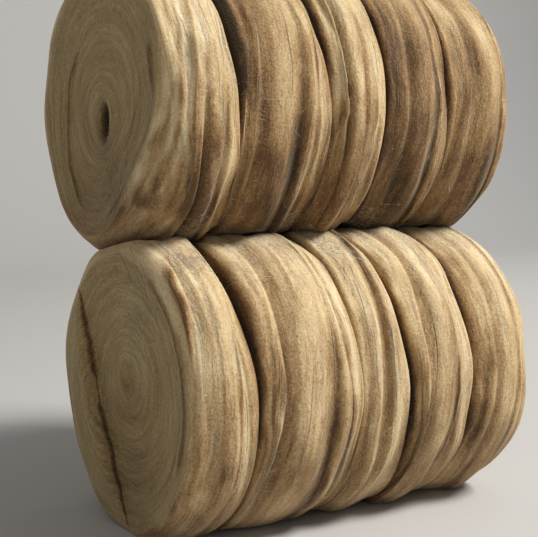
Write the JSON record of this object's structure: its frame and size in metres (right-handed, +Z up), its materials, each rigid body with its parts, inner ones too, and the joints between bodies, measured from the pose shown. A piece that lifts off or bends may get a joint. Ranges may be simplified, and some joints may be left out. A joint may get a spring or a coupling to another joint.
{
  "type": "bundle of wound hemp fibre rolls",
  "caption": "Stacked rows of wound hemp sliver rolls with rounded, creased rims and deep grooves between them, resting on a flattened underside.",
  "frame": {"origin": "middle of the bundle's footprint, on the flattened underside of the lower row", "axes": "+Z up, +X along the rows to the right, +Y to the back; the rolls' axes lie along X"},
  "size_m": [0.4145, 0.3574, 0.5529],
  "materials": {
    "hemp_sliver": "dry combed hemp fibre, matt with a soft sheen along the fibres"
  },
  "bodies": {
    "root": {"roll_lower_1": "hemp_sliver", "roll_lower_2": "hemp_sliver", "roll_lower_3": "hemp_sliver", "roll_lower_4": "hemp_sliver", "roll_lower_5": "hemp_sliver", "roll_upper_1": "hemp_sliver", "roll_upper_2": "hemp_sliver", "roll_upper_3": "hemp_sliver", "roll_upper_4": "hemp_sliver", "roll_upper_5": "hemp_sliver"}
  },
  "joints": []
}
